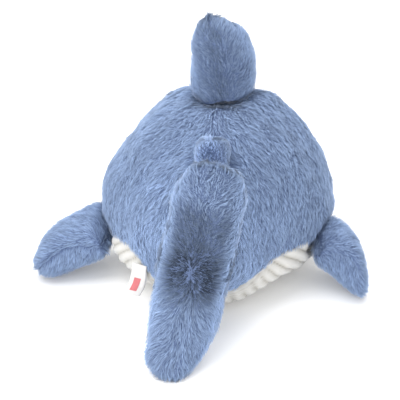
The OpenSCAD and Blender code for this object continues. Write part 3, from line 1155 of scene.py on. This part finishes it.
class Label:
    """The folded label: a strip that runs down from the seam, round a fold and back up."""

    THICK = 0.4 * MM
    PUFF = 1.1 * MM  # how far the two layers stand apart at the most
    SEWN = 7 * MM  # length inside the seam
    LEAN = -9 * MM  # how far the fold hangs to one side

    def __init__(self):
        joint = joint_named("label_flip")
        corners = points_of(frame["nodes"]["label"])
        self.hinge = np.array(joint["pos_m"])
        self.wide = unit(np.array(joint["axis"]))
        down = corners.mean(0) - self.hinge
        self.down = unit(down - self.wide * (down @ self.wide))
        band = points_of(frame["nodes"]["label_print"])
        self.out = np.cross(self.wide, self.down)
        self.out *= np.sign((band.mean(0) - corners.mean(0)) @ self.out)
        self.width = np.ptp(corners @ self.wide)
        self.length = ((corners - self.hinge) @ self.down).max()
        self.band = [(band - self.hinge) @ self.down, (band - self.hinge) @ self.wide]

    def surface(self, s, t):
        """Middle between the layers at s down the label and t across it, and the way out."""
        share = np.clip(s / self.length, 0, 1)
        twist = 5.0 * MM * share * (t / self.width)
        sag = 2.4 * MM * np.sin(share * math.pi)
        cup = 2.5 * MM * (2 * t / self.width) ** 2 * share
        t = t - self.LEAN * share**2
        apart = self.PUFF * np.sin(share * math.pi) ** 0.6
        place = self.hinge + np.multiply.outer(s, self.down) + np.multiply.outer(t, self.wide)
        place = place + np.multiply.outer(twist - sag - cup, self.out)
        return place, np.multiply.outer(apart, self.out)

    def strip(self, name):
        """The folded strip as one closed mesh."""
        s = np.linspace(-self.SEWN, self.length - 0.8 * MM, 30)
        t = np.linspace(-0.5, 0.5, 15) * self.width
        sheets = []
        for side in (1, -1):
            grid_s, grid_t = np.meshgrid(s, t, indexing="ij")
            place, lift = self.surface(grid_s, grid_t)
            for layer in (1, 0):
                sheets.append(place + side * (lift + self.out * (0.15 * MM + layer * self.THICK)))
        outer = np.concatenate([sheets[0], self.fold(sheets[0], sheets[2]), sheets[2][::-1]])
        inner = np.concatenate([sheets[1], self.fold(sheets[1], sheets[3]), sheets[3][::-1]])
        thickness = np.linalg.norm(outer - inner, axis=2).mean()
        return closed_panel(name, outer, (outer - inner) / thickness, thickness)

    def fold(self, front, back):
        """Rows that carry the strip round its fold, from the front layer to the back."""
        middle = (front[-1] + back[-1]) / 2
        half = (front[-1] - back[-1]) / 2
        reach = np.linalg.norm(half, axis=1, keepdims=True) * self.down
        turns = np.linspace(0, math.pi, 9)[1:-1]
        return np.array([middle + half * math.cos(a) + reach * math.sin(a) for a in turns])

    def printed(self, name):
        """A plain woven band on the outer layer, with short ribs along its edges."""
        s = np.linspace(self.band[0].min(), self.band[0].max(), 26)
        t = np.linspace(self.band[1].min(), self.band[1].max(), 13) * 0.6
        grid_s, grid_t = np.meshgrid(s, t, indexing="ij")
        place, lift = self.surface(grid_s, grid_t)
        ribs = 0.05 * MM * np.cos(np.arange(26) * math.pi)[:, None, None]
        top = place + lift + self.out * (self.THICK + 0.15 * MM + 0.16 * MM + ribs)
        return closed_panel(name, top, np.broadcast_to(self.out, top.shape), 0.3 * MM)

    def join(self, piece):
        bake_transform(piece)


def plant_label():
    label = Label()
    strip = label.strip("label_strip")
    finish_piece(strip, white_satin, "satin_label", "label")
    label.join(strip)
    band = label.printed("label_red_band")
    finish_piece(band, red_satin, "label_band", "label_print")
    label.join(band)


plant_label()


# -------- camera, floor and light


def stage():
    target = Vector((0, 0.06, 0.12))
    azimuth, elevation, away = math.radians(186), math.radians(24), 1.5
    level = Vector((math.sin(azimuth), -math.cos(azimuth), 0))
    back = level * math.cos(elevation) + Vector((0, 0, math.sin(elevation)))
    data = bpy.data.cameras.new("camera")
    data.lens = 100.8
    data.shift_x = -0.03
    data.shift_y = -0.015
    data.clip_start = 0.05
    camera = bpy.data.objects.new("camera", data)
    camera.location = target + back * away
    camera.rotation_euler = (-back).to_track_quat("-Z", "Y").to_euler()
    bpy.context.scene.collection.objects.link(camera)
    bpy.context.scene.camera = camera

    floor = new_object("floor", [(-6, -6, 0), (6, -6, 0), (6, 6, 0), (-6, 6, 0)], [(0, 1, 2, 3)])
    pale = Material("pale floor", {
        "Base Color": (0.93, 0.93, 0.93, 1), "Roughness": 0.9,
        "Emission Color": (1, 1, 1, 1), "Emission Strength": 0.12,
    })
    floor.data.materials.append(pale.made)

    def soft_light(name, place, size, power):
        light = bpy.data.lights.new(name, "AREA")
        light.shape = "DISK"
        light.size = size
        light.energy = power
        obj = bpy.data.objects.new(name, light)
        obj.location = place
        obj.rotation_euler = (target - Vector(place)).to_track_quat("-Z", "Y").to_euler()
        bpy.context.scene.collection.objects.link(obj)

    soft_light("key", (0.8, 0.3, 2.4), 2.6, 42)
    soft_light("back", (-0.5, -1.2, 1.8), 2.0, 26)
    soft_light("fill", (0.4, 2.6, 0.9), 2.6, 34)
    world = bpy.data.worlds.new("studio")
    world.use_nodes = True
    background = world.node_tree.nodes["Background"]
    background.inputs["Color"].default_value = (1, 1, 1, 1)
    background.inputs["Strength"].default_value = 0.9
    bpy.context.scene.world = world
    bpy.context.scene.view_settings.view_transform = "Standard"


stage()
